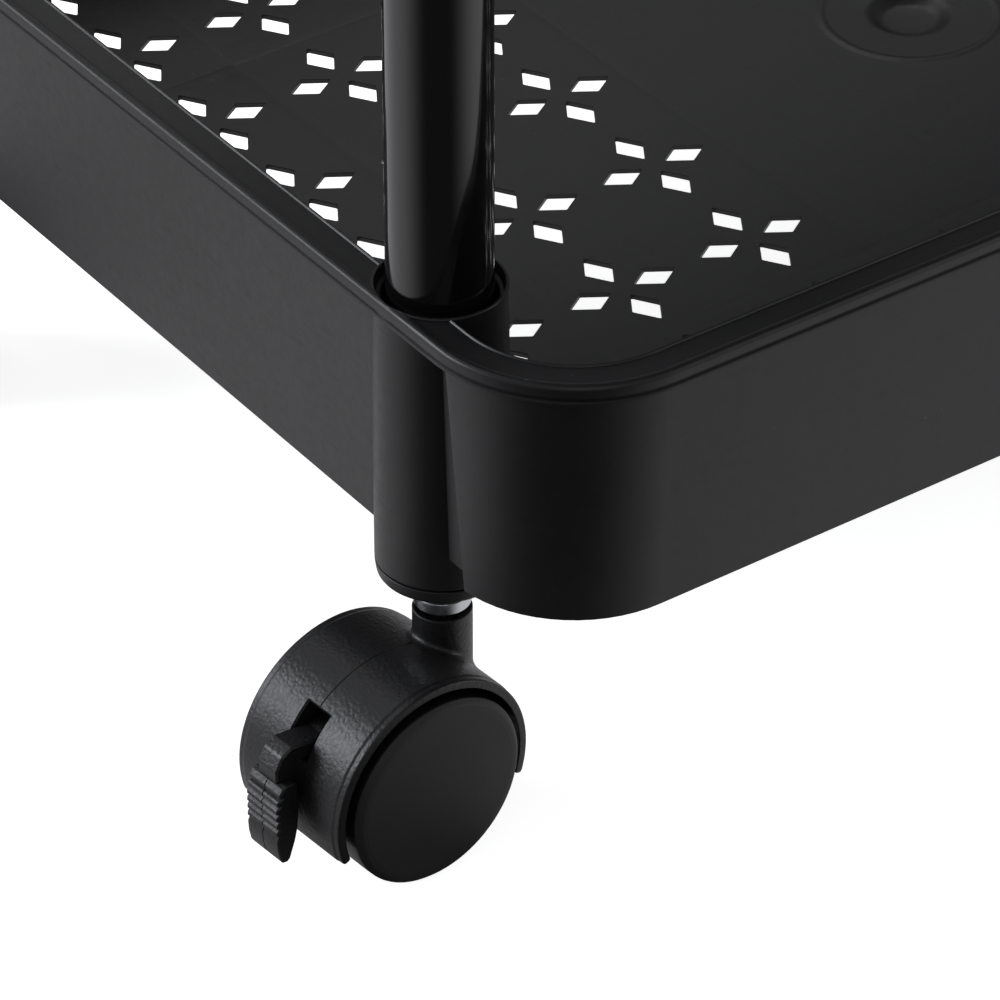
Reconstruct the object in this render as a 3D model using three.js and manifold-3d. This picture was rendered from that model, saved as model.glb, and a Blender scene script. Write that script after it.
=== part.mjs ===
// Rolling three-tray cart: moulded trays on tube posts, two push handles and four twin-wheel casters.
// Millimetres, +Z up. The origin is on the floor under the middle of the trays; X runs along the trays.
import * as THREE from 'three';
import { mergeVertices } from 'three/addons/utils/BufferGeometryUtils.js';
import Module from 'manifold-3d';

const wasm = await Module();
wasm.setup();

// ---- Driving dimensions ----
const GAP = 0.3;                       // clearance between pieces that touch

// trays
const TRAY_LENGTH = 422;               // along X, over the rim
const TRAY_WIDTH = 296;                // along Y, over the rim
const CORNER_RADIUS = 33;
const TRAY_PITCH = 262;                // floor to floor
const WALL_HEIGHT = 56;                // rim above the tray floor
const SKIRT_DROP = 2;                  // outer wall below the tray floor's top face
const FLOOR_THICKNESS = 1.6;
const WALL_THICKNESS = 2;
const DRAFT = 3.5;                     // how much further in the outer wall is at its foot
const RIM_WIDTH = 8.2;                 // flat top of the double wall
const BOSS_DROP = 8.8;                 // post boss below the tray floor's top face
const SHOULDER_HEIGHT = 3;             // ring inside each boss that the posts bear on

// posts and handles
const POST_RADIUS = 10.6;
const POST_WALL = 1.2;
const POST_X = 197.3;
const POST_Y = 97.2;
const BOSS_RADIUS = 13.5;
const HANDLE_RISE = 98;                // top of the handle tube above the top tray's rim
const HANDLE_BEND = 45;                // bend radius on the tube's centre line
const BEND_STEPS = 5;
const JOINER_LENGTH = 60;

// caster, with its own origin in the middle of the wheel axle, u outwards and z up
const WHEEL_RADIUS = 21.2;
const WHEEL_FACE = 18.4;               // outer face of a wheel from the caster's middle plane
const WEB_HALF = 4.2;                  // half the thickness of the hood's middle web
const CASTER_TRAIL = 15.8;             // wheel axle from the swivel axis
const FRONT_TOE = 4.6;                 // degrees that the front casters are swivelled from the X axis
const REAR_TOE = 30;
const HOOD_RADIUS = 24.7;
const HOOD_THICKNESS = 2.1;
const HOOD_HALF = 16.2;                // edge of the hood from the middle plane
const HOOD_FOOT = -8;                  // lower edge of the hood
const NECK_RADIUS = 6.15;
const NECK_TOP = 29.2;
const NECK_WALL = 0.5;                 // rim round the cup at the top of the neck
const NECK_CUP = 3;                    // depth of that cup
const AXLE_RADIUS = 2.3;
const STEM_RADIUS = 3.9;
const COLLAR_RADIUS = 5.95;
const COLLAR_HEIGHT = 3.4;
const COLLAR_LIFT = 1.2;               // collar above the neck
const STEM_REACH = 30;                 // stem above its collar
const SOCKET_FLANGE = 3.1;
const BRAKE_PIVOT = [8, 12];           // u and z
const BRAKE_PIN_RADIUS = 1.2;
const SLOT_HALF = 3.4;                 // half the width of the lever's slot
const SLOT_FROM = 25;                  // degrees round the hood, from straight out
const SLOT_TO = 49.5;
const LEVER_HALF = 3;
const TAB_HALF = 5;

const AXLE_LEVEL = WHEEL_RADIUS;
const BOTTOM_FLOOR = AXLE_LEVEL + 51.1; // top of the bottom tray's floor
const FLOORS = [0, 1, 2].map((tier) => BOTTOM_FLOOR + tier * TRAY_PITCH);
const BORE_RADIUS = POST_RADIUS + GAP;
const TUBE_INNER = POST_RADIUS - POST_WALL;
const PLUG_RADIUS = TUBE_INNER - GAP;

// ---- Materials ----
const finish = (color, roughness, metalness = 0) => ({ color, roughness, metalness });
const TRAY_PLASTIC = finish(0x1b1b1d, 0.5);
const HOOD_PLASTIC = finish(0x17171a, 0.55);
const WHEEL_PLASTIC = finish(0x262423, 0.6);
const FITTING_PLASTIC = finish(0x1d1d1f, 0.5);
const POST_PAINT = finish(0x0b0b0c, 0.15, 0.1);
const ZINC = finish(0xc9ccd0, 0.25, 1);
const STEEL = finish(0x9a9ca0, 0.35, 1);

// ---- Solids ----
function solid(geometry) {
  const bare = geometry.index ? geometry.toNonIndexed() : geometry.clone();
  bare.deleteAttribute('normal');
  bare.deleteAttribute('uv');
  const merged = mergeVertices(bare, 1e-4);
  return new wasm.Manifold(new wasm.Mesh({
    numProp: 3,
    vertProperties: new Float32Array(merged.attributes.position.array),
    triVerts: new Uint32Array(merged.index.array),
  }));
}

function geometryOf(manifold) {
  const mesh = manifold.getMesh();
  const geometry = new THREE.BufferGeometry();
  geometry.setAttribute('position', new THREE.BufferAttribute(mesh.vertProperties, 3));
  geometry.setIndex(new THREE.BufferAttribute(mesh.triVerts, 1));
  return geometry;
}

// Upright cylinder between two heights.
function rod(radius, low, high, x = 0, y = 0, sides = 16) {
  const geometry = new THREE.CylinderGeometry(radius, radius, high - low, sides);
  geometry.rotateX(Math.PI / 2).translate(x, y, (low + high) / 2);
  return solid(geometry);
}

// Cylinder along Y, centred on the middle plane.
function crossRod(radius, half, x = 0, z = 0, sides = 12) {
  const geometry = new THREE.CylinderGeometry(radius, radius, 2 * half, sides);
  return solid(geometry.translate(x, 0, z));
}

// Outline given in x and z, as thick as 2 * half along Y.
function slab(outline, half) {
  const geometry = new THREE.ExtrudeGeometry(outline, { depth: 2 * half, bevelEnabled: false });
  return solid(geometry.rotateX(Math.PI / 2).translate(0, half, 0));
}

function polygon(points) {
  return new THREE.Shape(points.map(([x, y]) => new THREE.Vector2(x, y)));
}

const roundAt = (degrees, radius) => {
  const angle = THREE.MathUtils.degToRad(degrees);
  return [radius * Math.cos(angle), radius * Math.sin(angle)];
};

// Lathe about Z from [radius, z] pairs.
function turned(profile, sides = 16) {
  const points = profile.map(([r, z]) => new THREE.Vector2(r, z));
  return solid(new THREE.LatheGeometry(points, sides).rotateX(Math.PI / 2));
}

// ---- Trays ----
function roundedRectangle(inset) {
  const x = TRAY_LENGTH / 2 - inset;
  const y = TRAY_WIDTH / 2 - inset;
  const r = CORNER_RADIUS - inset;
  const shape = new THREE.Shape();
  shape.absarc(x - r, y - r, r, 0, Math.PI / 2);
  shape.absarc(-x + r, y - r, r, Math.PI / 2, Math.PI);
  shape.absarc(-x + r, -y + r, r, Math.PI, 1.5 * Math.PI);
  shape.absarc(x - r, -y + r, r, 1.5 * Math.PI, 2 * Math.PI);
  return shape;
}

// Rounded block between two heights whose sides draw in by footInset - topInset towards the foot.
function draftedBlock(topInset, footInset, low, high) {
  const geometry = new THREE.ExtrudeGeometry(roundedRectangle(topInset), {
    depth: high - low, bevelEnabled: false, curveSegments: 3,
  });
  const place = geometry.attributes.position;
  const extra = footInset - topInset;
  const scaleX = 1 - extra / (TRAY_LENGTH / 2 - topInset);
  const scaleY = 1 - extra / (TRAY_WIDTH / 2 - topInset);
  for (let i = 0; i < place.count; i += 1) {
    if (place.getZ(i) < (high - low) / 2) {
      place.setXY(i, place.getX(i) * scaleX, place.getY(i) * scaleY);
    }
  }
  return solid(geometry.translate(0, 0, low));
}

const CORNERS = [-1, 1].flatMap((sx) => [-1, 1].map((sy) => ({ sx, sy })));

function tray(shoulderLow) {
  const ceiling = WALL_HEIGHT - WALL_THICKNESS;
  const backOfInnerWall = RIM_WIDTH - WALL_THICKNESS;
  const channel = draftedBlock(WALL_THICKNESS, DRAFT + WALL_THICKNESS, -SKIRT_DROP - 1, ceiling)
    .subtract(draftedBlock(backOfInnerWall, backOfInnerWall + 1, -SKIRT_DROP - 2, ceiling + 1));
  const underside = draftedBlock(RIM_WIDTH, RIM_WIDTH, -SKIRT_DROP - 1, -FLOOR_THICKNESS);
  const inside = draftedBlock(RIM_WIDTH, RIM_WIDTH + 1, 0, WALL_HEIGHT + 1);
  let body = draftedBlock(0, DRAFT, -SKIRT_DROP, WALL_HEIGHT)
    .subtract(channel).subtract(underside).subtract(inside);
  for (const { sx, sy } of CORNERS) {
    body = body.add(rod(BOSS_RADIUS, -BOSS_DROP, WALL_HEIGHT, sx * POST_X, sy * POST_Y));
  }
  const shoulderTop = shoulderLow + SHOULDER_HEIGHT;
  for (const { sx, sy } of CORNERS) {
    const [x, y] = [sx * POST_X, sy * POST_Y];
    body = body
      .subtract(rod(BORE_RADIUS, shoulderTop, WALL_HEIGHT + 1, x, y))
      .subtract(rod(BORE_RADIUS, -BOSS_DROP - 1, shoulderLow, x, y))
      .subtract(rod(TUBE_INNER, shoulderLow - 1, shoulderTop + 1, x, y));
  }
  return geometryOf(body);
}

// ---- Posts, joiners and handles ----
function ring(outer, inner) {
  const shape = new THREE.Shape().absarc(0, 0, outer, 0, 2 * Math.PI);
  shape.holes.push(new THREE.Path().absarc(0, 0, inner, 0, 2 * Math.PI, true));
  return shape;
}

function post(low, high) {
  const tube = new THREE.ExtrudeGeometry(ring(POST_RADIUS, TUBE_INNER), {
    depth: high - low, bevelEnabled: false, curveSegments: 8,
  });
  return tube.translate(0, 0, low);
}

// A path that is sampled only at its own stations, so a straight run is a single step.
class StationPath extends THREE.Curve {
  constructor(stations) {
    super();
    this.stations = stations;
  }

  getPoint(t, target = new THREE.Vector3()) {
    const along = t * (this.stations.length - 1);
    const i = Math.min(Math.floor(along), this.stations.length - 2);
    return target.lerpVectors(this.stations[i], this.stations[i + 1], along - i);
  }

  getPointAt(u, target) {
    return this.getPoint(u, target);
  }

  getTangentAt(u, target) {
    return this.getTangent(u, target);
  }
}

function handle(low, top) {
  const stations = [new THREE.Vector3(0, -POST_Y, low)];
  for (const side of [-1, 1]) {
    for (let i = 0; i <= BEND_STEPS; i += 1) {
      const turn = (Math.PI / 2) * (side < 0 ? i : BEND_STEPS - i) / BEND_STEPS;
      const y = POST_Y - HANDLE_BEND + HANDLE_BEND * Math.cos(turn);
      stations.push(new THREE.Vector3(0, side * y, top - HANDLE_BEND + HANDLE_BEND * Math.sin(turn)));
    }
  }
  stations.push(new THREE.Vector3(0, POST_Y, low));
  return new THREE.ExtrudeGeometry(ring(POST_RADIUS, TUBE_INNER), {
    steps: stations.length - 1, curveSegments: 6, extrudePath: new StationPath(stations),
  });
}

function joiner() {
  return geometryOf(rod(PLUG_RADIUS, -JOINER_LENGTH / 2, JOINER_LENGTH / 2, 0, 0, 12));
}

// Insert that closes the foot of a post and holds the caster's stem.
function socket(flangeTop) {
  const bore = STEM_RADIUS + GAP;
  const low = flangeTop - SOCKET_FLANGE;
  const reach = flangeTop + 36;
  return geometryOf(turned([
    [bore, low], [BOSS_RADIUS - 1.2, low], [BOSS_RADIUS, low + 1.4], [BOSS_RADIUS, flangeTop],
    [PLUG_RADIUS, flangeTop], [PLUG_RADIUS, reach], [bore, reach], [bore, low],
  ]));
}

// ---- Casters ----
const LEVER_ARM = [
  [5.4, 10.4], [11, 9.2], [18, 9.4], [21, 10.6], [23.6, 11.2], [25, 10], [25.6, 7.8], [29.4, 7.8],
  [29.6, 10.8], [28, 13.8], [25.6, 15.2], [22.4, 14.8], [17, 13.8], [11, 14.6], [6.4, 14.8],
];
const LEVER_TAB = [
  [25.2, 2], [25.8, 7.8], [29.2, 8], [31, 6.4], [31.2, -4], [30.4, -10.4], [28.4, -11], [26, -4.5],
];

function hood() {
  const inner = HOOD_RADIUS - HOOD_THICKNESS;
  const profile = [
    [inner, -HOOD_HALF], [HOOD_RADIUS, -HOOD_HALF], [HOOD_RADIUS, HOOD_HALF],
    [inner, HOOD_HALF], [inner, -HOOD_HALF],
  ];
  const band = solid(new THREE.LatheGeometry(profile.map(([r, y]) => new THREE.Vector2(r, y)), 24));
  const web = crossRod(HOOD_RADIUS - 1, WEB_HALF, 0, 0, 24);
  const neck = rod(NECK_RADIUS, 2, NECK_TOP, -CASTER_TRAIL, 0)
    .subtract(crossRod(inner, HOOD_HALF, 0, 0, 24));
  const below = slab(polygon([[-40, -40], [40, -40], [40, HOOD_FOOT], [-40, HOOD_FOOT]]), 30);
  const slot = slab(polygon([
    roundAt(SLOT_FROM, HOOD_RADIUS - 5), roundAt(SLOT_FROM, HOOD_RADIUS + 3),
    roundAt(SLOT_TO, HOOD_RADIUS + 3), roundAt(SLOT_TO, HOOD_RADIUS - 5),
  ]), SLOT_HALF);
  const forkOutline = [[3.6, 7.4], [20.6, 6.6], [20.6, 8.4], roundAt(SLOT_TO, 22), [5, 18]];
  const fork = slab(polygon(forkOutline), LEVER_HALF + GAP);
  const body = band.add(web).add(neck).subtract(below)
    .subtract(rod(STEM_RADIUS - 0.6, 5, NECK_TOP + 1, -CASTER_TRAIL, 0, 12))
    .subtract(rod(NECK_RADIUS - NECK_WALL, NECK_TOP - NECK_CUP, NECK_TOP + 1, -CASTER_TRAIL, 0))
    .subtract(crossRod(AXLE_RADIUS + GAP, WEB_HALF + 1, 0, 0))
    .subtract(slot)
    .subtract(fork)
    .subtract(crossRod(BRAKE_PIN_RADIUS + GAP, WEB_HALF + 1, ...BRAKE_PIVOT, 8));
  return geometryOf(body);
}

function lever() {
  const body = slab(polygon(LEVER_ARM), LEVER_HALF)
    .add(slab(polygon(LEVER_TAB), TAB_HALF))
    .subtract(crossRod(BRAKE_PIN_RADIUS + GAP, LEVER_HALF + 1, ...BRAKE_PIVOT, 8));
  return geometryOf(body);
}

// Hollow wheel, open towards the middle of the caster; side is +1 or -1 along Y.
function wheel(side) {
  const inner = WEB_HALF + 0.4;
  const bore = AXLE_RADIUS + GAP;
  const profile = [
    [0, WHEEL_FACE - 2.4], [bore, WHEEL_FACE - 2.4], [bore, inner], [5, inner], [5, WHEEL_FACE - 3],
    [WHEEL_RADIUS - 3, WHEEL_FACE - 3], [WHEEL_RADIUS - 3, inner], [WHEEL_RADIUS, inner],
    [WHEEL_RADIUS, WHEEL_FACE - 1.2], [WHEEL_RADIUS - 1.2, WHEEL_FACE], [0, WHEEL_FACE],
  ];
  const geometry = new THREE.LatheGeometry(profile.map(([r, y]) => new THREE.Vector2(r, y)), 20);
  return side > 0 ? geometry : geometry.rotateX(Math.PI);
}

// Stem with its collar; heights are from the wheel axle.
function stem() {
  const collar = NECK_TOP + COLLAR_LIFT;
  const top = collar + COLLAR_HEIGHT + STEM_REACH;
  return turned([
    [0, 6], [STEM_RADIUS - 0.9, 6], [STEM_RADIUS - 0.9, collar], [COLLAR_RADIUS, collar],
    [COLLAR_RADIUS, collar + COLLAR_HEIGHT], [STEM_RADIUS, collar + COLLAR_HEIGHT],
    [STEM_RADIUS, top], [0, top],
  ], 12);
}

// ---- Assembly ----
const cart = new THREE.Group();

function piece(parent, name, geometry, look, place = [0, 0, 0]) {
  const mesh = new THREE.Mesh(geometry, new THREE.MeshStandardMaterial(look));
  mesh.name = name;
  mesh.position.set(...place);
  parent.add(mesh);
}

const cornerName = ({ sx, sy }) => `${sx < 0 ? 'left' : 'right'}_${sy < 0 ? 'front' : 'rear'}`;
const sideName = (sx) => (sx < 0 ? 'left' : 'right');

const BOTTOM_SHOULDER = -BOSS_DROP;
const UPPER_SHOULDER = 18;
const tierNames = ['bottom', 'middle', 'top'];
const shoulderOf = (tier) => (tier === 0 ? BOTTOM_SHOULDER : UPPER_SHOULDER);
FLOORS.forEach((level, tier) => {
  piece(cart, `${tierNames[tier]}_tray`, tray(shoulderOf(tier)), TRAY_PLASTIC, [0, 0, level]);
});

const seatAbove = (tier) => FLOORS[tier] + shoulderOf(tier) + SHOULDER_HEIGHT + GAP;
const seatBelow = (tier) => FLOORS[tier] + UPPER_SHOULDER - GAP;

for (const corner of CORNERS) {
  const x = corner.sx * POST_X;
  const y = corner.sy * POST_Y;
  const name = cornerName(corner);
  piece(cart, `lower_post_${name}`, post(seatAbove(0), seatBelow(1)), POST_PAINT, [x, y, 0]);
  piece(cart, `upper_post_${name}`, post(seatAbove(1), seatBelow(2)), POST_PAINT, [x, y, 0]);
  for (const tier of [1, 2]) {
    const middle = FLOORS[tier] + UPPER_SHOULDER + SHOULDER_HEIGHT / 2;
    piece(cart, `${tierNames[tier]}_joiner_${name}`, joiner(), FITTING_PLASTIC, [x, y, middle]);
  }
  piece(cart, `caster_socket_${name}`, socket(-BOSS_DROP - GAP), FITTING_PLASTIC, [x, y, FLOORS[0]]);
}

for (const sx of [-1, 1]) {
  const top = FLOORS[2] + WALL_HEIGHT + HANDLE_RISE - POST_RADIUS;
  piece(cart, `handle_${sideName(sx)}`, handle(seatAbove(2), top), POST_PAINT, [sx * POST_X, 0, 0]);
}

for (const corner of CORNERS) {
  const name = cornerName(corner);
  const toe = THREE.MathUtils.degToRad(corner.sy < 0 ? FRONT_TOE : REAR_TOE) * corner.sx * corner.sy;
  const caster = new THREE.Group();
  caster.position.set(corner.sx * POST_X, corner.sy * POST_Y, AXLE_LEVEL);
  caster.rotation.z = (corner.sx < 0 ? Math.PI : 0) + toe;
  cart.add(caster);
  piece(caster, `caster_stem_${name}`, geometryOf(stem()), ZINC);
  const trail = [CASTER_TRAIL, 0, 0];
  piece(caster, `caster_hood_${name}`, hood(), HOOD_PLASTIC, trail);
  piece(caster, `caster_axle_${name}`, geometryOf(crossRod(AXLE_RADIUS, WHEEL_FACE - 2.8)), STEEL, trail);
  piece(caster, `wheel_a_${name}`, wheel(1), WHEEL_PLASTIC, trail);
  piece(caster, `wheel_b_${name}`, wheel(-1), WHEEL_PLASTIC, trail);
  piece(caster, `brake_lever_${name}`, lever(), HOOD_PLASTIC, trail);
  const pin = geometryOf(crossRod(BRAKE_PIN_RADIUS, WEB_HALF, ...BRAKE_PIVOT, 8));
  piece(caster, `brake_pin_${name}`, pin, STEEL, trail);
}

export default cart;
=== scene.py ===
"""Looks for the rolling three-tray cart: moulded black trays, gloss tube posts and twin-wheel casters."""

import math

import bmesh
import bpy
from mathutils import Matrix, Vector
from mathutils.geometry import delaunay_2d_cdt


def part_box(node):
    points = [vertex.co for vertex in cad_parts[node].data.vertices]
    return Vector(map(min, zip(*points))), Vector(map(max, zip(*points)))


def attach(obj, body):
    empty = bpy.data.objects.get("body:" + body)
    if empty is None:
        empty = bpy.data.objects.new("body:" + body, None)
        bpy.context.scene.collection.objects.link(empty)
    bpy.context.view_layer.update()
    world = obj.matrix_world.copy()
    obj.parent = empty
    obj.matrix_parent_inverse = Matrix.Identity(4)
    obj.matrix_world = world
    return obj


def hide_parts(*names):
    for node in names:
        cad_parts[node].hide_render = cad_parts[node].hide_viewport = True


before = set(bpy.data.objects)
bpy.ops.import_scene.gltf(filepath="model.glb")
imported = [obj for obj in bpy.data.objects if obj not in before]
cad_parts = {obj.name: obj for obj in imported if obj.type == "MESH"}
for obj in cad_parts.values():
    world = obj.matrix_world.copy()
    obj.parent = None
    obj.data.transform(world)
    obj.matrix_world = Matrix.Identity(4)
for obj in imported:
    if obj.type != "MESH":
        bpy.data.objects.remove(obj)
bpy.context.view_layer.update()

MM = 0.001
SHARP = 32                      # degrees above which an edge stays crisp

# ---- Tray dimensions, in millimetres; heights are from the top of its floor ----
TRAY_LENGTH = 422
TRAY_WIDTH = 296
CORNER_RADIUS = 33
CORNER_STEPS = 16
RIM_TOP = 56
FLOOR_INSET = 10.7              # edge of the flat floor, inside the fillet
FLOOR_UNDER = -1.1
WALL_TOP = 2.4                  # outer wall behind the rim's edge, at its top and foot
WALL_FOOT = 4.2
RIB_HALF = 0.6
RIB_FOOT = -3.6
BOSS_RADIUS = 13.5
BOSS_FOOT = -8.8
BORE_RADIUS = 10.9
SHOULDER_RADIUS = 9.4
SHOULDER_HEIGHT = 3
BOTTOM_SHOULDER = -8.8
UPPER_SHOULDER = 18

# valley in the outer wall between each post boss and the tray's corner
VALLEY_START = 104              # inside the boss
VALLEY_REACH = 216              # beyond the rim
VALLEY_EDGE = 1.8               # rounding where the outer wall stops short of the boss
VALLEY_FOOT = {"z": -3, "inner": 203.75, "outer": 206.6, "edge": 118.8}
VALLEY_HEAD = {"z": 51.75, "inner": 204.75, "outer": 208.6, "edge": 115.3}
WEB_FOOT = -1.9
WEB_HEAD = 52.35

# pierced pattern of four-petal flowers
COLUMN_PITCH = 35
ROW_PITCH = 34.16
COLUMNS = 4                     # on each side of the middle
ROWS = 5
PLAIN_X = 68.3                  # half size of the plain middle panel, and lines of the ribs below
PLAIN_Y = 70
OUTER_RIB_X = 136.6
PETAL_NEAR = 2.7
PETAL_FAR = 14.07
PETAL_HALF = 3.7
PETAL_ROUND = 0.45
HOLE_EDGE = 0.14                # chamfer round each hole
DISH_RADIUS = 10.5              # round dish in the middle panel, with a sloping side
DISH_FLAT = 5.5
DISH_DEPTH = 1.9
RELIEF_RINGS = (2.5, 5.5, 6.8, 8.0, 9.2, 10.5, 18.6, 19.2, 19.8, 20.25, 20.7, 21.3, 21.9)
RING_RADIUS = 20.25             # low ring round the dish
RING_HALF = 1.65
RING_HEIGHT = 0.28
SINK_HALF = 0.8                 # sink lines over the ribs
SINK_DEPTH = 0.12

# ---- Posts ----
POST_RADIUS = 10.6
TUBE_INNER = 9.4
HANDLE_BEND = 45
HANDLE_TOP = 739.7
HANDLE_SIDES = 56
BEND_STEPS = 20
SOCKET_FLANGE = 3.1
SOCKET_REACH = 36               # plug above its flange

# ---- Caster, from the middle of the axle: u outwards, v along the axle, z up ----
TRAIL = 15.8
FRONT_TOE = 4.6
REAR_TOE = 30
AXLE_LEVEL = 21.2
WHEEL_RADIUS = 21.2
WHEEL_FACE = 18.4
WHEEL_BACK = 4.6
HUB_RADIUS = 5
RECESS_RADIUS = 17.5            # hollow behind the wheel's face
RECESS_DEPTH = 15.4
HOOD_RADIUS = 24.7
HOOD_INNER = 22.6
HOOD_HALF = 16.2
HOOD_FOOT = -8
SLOT_FROM = 25
SLOT_TO = 49.5
SLOT_HALF = 3.4
NECK_RADIUS = 6.15
NECK_TOP = 29.2
NECK_FILLET = 1.7
WEB_HALF = 4.2                  # half the thickness of the hood's middle web
AXLE_BORE = 2.6
AXLE_RADIUS = 2.3
AXLE_HALF = 15.6
LEVER_HALF = 3
TAB_HALF = 5
PIVOT_U = 8                     # brake lever's pin
PIVOT_Z = 12
PIN_RADIUS = 1.2
PIN_BORE = 1.5
STEM_RADIUS = 3.9
COLLAR_RADIUS = 5.95

# ---- Studio, in metres ----
FLOOR_HALF = 4
LIT_POINT = (-0.15, -0.08, 0.1)
LENS = 204.1
CAMERA_TARGET = Vector((-0.1847, -0.0995, 0.0723))
CAMERA_SIDE = Vector((-0.4709, -0.6602, 0.5855))    # from the target to the camera
CAMERA_DISTANCE = 1.1304

CORNERS = {
    "left_front": (-1, -1),
    "left_rear": (-1, 1),
    "right_front": (1, -1),
    "right_rear": (1, 1),
}


# ---- Mesh tools ----
def smooth(mesh, angle=SHARP):
    mesh.shade_smooth()
    mesh.set_sharp_from_angle(angle=math.radians(angle))
    return mesh


def mesh_from(name, points, faces, angle=SHARP):
    """Closed mesh from millimetre points, with coincident points merged."""
    mesh = bpy.data.meshes.new(name)
    mesh.from_pydata([tuple(c * MM for c in p) for p in points], [], faces)
    work = bmesh.new()
    work.from_mesh(mesh)
    bmesh.ops.remove_doubles(work, verts=work.verts, dist=1e-6)
    bmesh.ops.recalc_face_normals(work, faces=work.faces)
    work.to_mesh(mesh)
    work.free()
    return smooth(mesh, angle)


def skin(rings, around=True, along=False):
    """Points and quads through equal rings of points."""
    count = len(rings[0])
    points = [p for ring in rings for p in ring]
    faces = []
    for i in range(len(rings) if along else len(rings) - 1):
        j = (i + 1) % len(rings)
        for k in range(count if around else count - 1):
            m = (k + 1) % count
            faces.append((i * count + k, i * count + m, j * count + m, j * count + k))
    return points, faces


def soften(corners, steps=4, closed=True):
    """Outline with its corners (x, y, radius) rounded where they have a radius."""
    outline = []
    count = len(corners)
    for i, corner in enumerate(corners):
        here = Vector(corner[:2])
        radius = corner[2] if len(corner) > 2 else 0
        if radius == 0 or (not closed and i in (0, count - 1)):
            outline.append(tuple(here))
            continue
        before = Vector(corners[i - 1][:2]) - here
        after = Vector(corners[(i + 1) % count][:2]) - here
        reach = radius / math.tan(before.angle(after) / 2)
        reach = min(reach, 0.48 * before.length, 0.48 * after.length)
        start = here + before.normalized() * reach
        end = here + after.normalized() * reach
        for step in range(steps + 1):
            t = step / steps
            point = start * (1 - t) ** 2 + here * 2 * t * (1 - t) + end * t ** 2
            outline.append(tuple(point))
    return outline


def lathe(name, profile, sides=96, axis="Z", closed=True, angle=SHARP):
    """Solid of revolution from (radius, height) pairs; an open profile starts and ends on the axis."""
    rings = []
    for side in range(sides):
        turn = 2 * math.pi * side / sides
        c, s = math.cos(turn), math.sin(turn)
        if axis == "Z":
            rings.append([(r * c, r * s, h) for r, h in profile])
        else:
            rings.append([(r * c, h, r * s) for r, h in profile])
    points, faces = skin(rings, around=closed, along=True)
    return mesh_from(name, points, faces, angle)


def prism(name, outline, half, edge=0.0):
    """Outline in u and z, made 2 * half thick along v, with its rims chamfered by edge."""
    inner = shrink(outline, edge) if edge else outline
    levels = [(-half, inner), (-half + edge, outline), (half - edge, outline), (half, inner)]
    if not edge:
        levels = [(-half, outline), (half, outline)]
    rings = [[(u, v, z) for u, z in ring] for v, ring in levels]
    points, faces = skin(rings)
    count = len(outline)
    faces.append(tuple(range(count)))
    faces.append(tuple(range(len(points) - count, len(points))))
    return mesh_from(name, points, faces)


def shrink(outline, amount):
    """Outline moved inwards by amount at every corner."""
    count = len(outline)
    area = sum(
        outline[i][0] * outline[(i + 1) % count][1] - outline[(i + 1) % count][0] * outline[i][1]
        for i in range(count)
    )
    sign = 1 if area > 0 else -1
    moved = []
    for i, point in enumerate(outline):
        before = (Vector(point) - Vector(outline[i - 1])).normalized()
        after = (Vector(outline[(i + 1) % count]) - Vector(point)).normalized()
        normal = Vector((-before.y - after.y, before.x + after.x)) * sign
        length = max(normal.length, 0.4)
        moved.append(tuple(Vector(point) + normal.normalized() * amount * 2 / length))
    return moved


def temporary(mesh):
    piece = bpy.data.objects.new("temporary", mesh)
    bpy.context.scene.collection.objects.link(piece)
    return piece


def carve(name, base, steps, angle=SHARP):
    """Base mesh after boolean steps of (operation, mesh)."""
    host = temporary(base)
    helpers = []
    for operation, mesh in steps:
        helper = temporary(mesh)
        modifier = host.modifiers.new("step", "BOOLEAN")
        modifier.operation = operation
        modifier.solver = "MANIFOLD"
        modifier.object = helper
        helpers.append(helper)
    graph = bpy.context.evaluated_depsgraph_get()
    result = bpy.data.meshes.new_from_object(host.evaluated_get(graph), depsgraph=graph)
    result.name = name
    for helper in [host, *helpers]:
        bpy.data.objects.remove(helper)
    return smooth(result, angle)


def at(x, y, z):
    return Matrix.Translation((x * MM, y * MM, z * MM))


def shifted(mesh, x, y):
    copy = mesh.copy()
    copy.transform(at(x, y, 0))
    return copy


def place(name, mesh, material, body, nodes, matrix=None):
    """A shown piece that rides on a body and stands for CAD nodes."""
    piece = bpy.data.objects.new(name, mesh)
    bpy.context.scene.collection.objects.link(piece)
    piece.matrix_world = matrix or Matrix.Identity(4)
    mesh.materials.clear()
    mesh.materials.append(material)
    weighted = piece.modifiers.new("normals", "WEIGHTED_NORMAL")
    weighted.keep_sharp = True
    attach(piece, body)
    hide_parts(*nodes)
    return piece


# ---- Trays ----
def rim_loop(inset, z):
    """Rounded rectangle at an inset from the rim, at one height."""
    radius = CORNER_RADIUS - inset
    loop = []
    for quarter, (sx, sy) in enumerate(((1, 1), (-1, 1), (-1, -1), (1, -1))):
        x = sx * (TRAY_LENGTH / 2 - CORNER_RADIUS)
        y = sy * (TRAY_WIDTH / 2 - CORNER_RADIUS)
        for step in range(CORNER_STEPS + 1):
            turn = (quarter + step / CORNER_STEPS) * math.pi / 2
            loop.append((x + radius * math.cos(turn), y + radius * math.sin(turn), z))
    return loop


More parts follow.
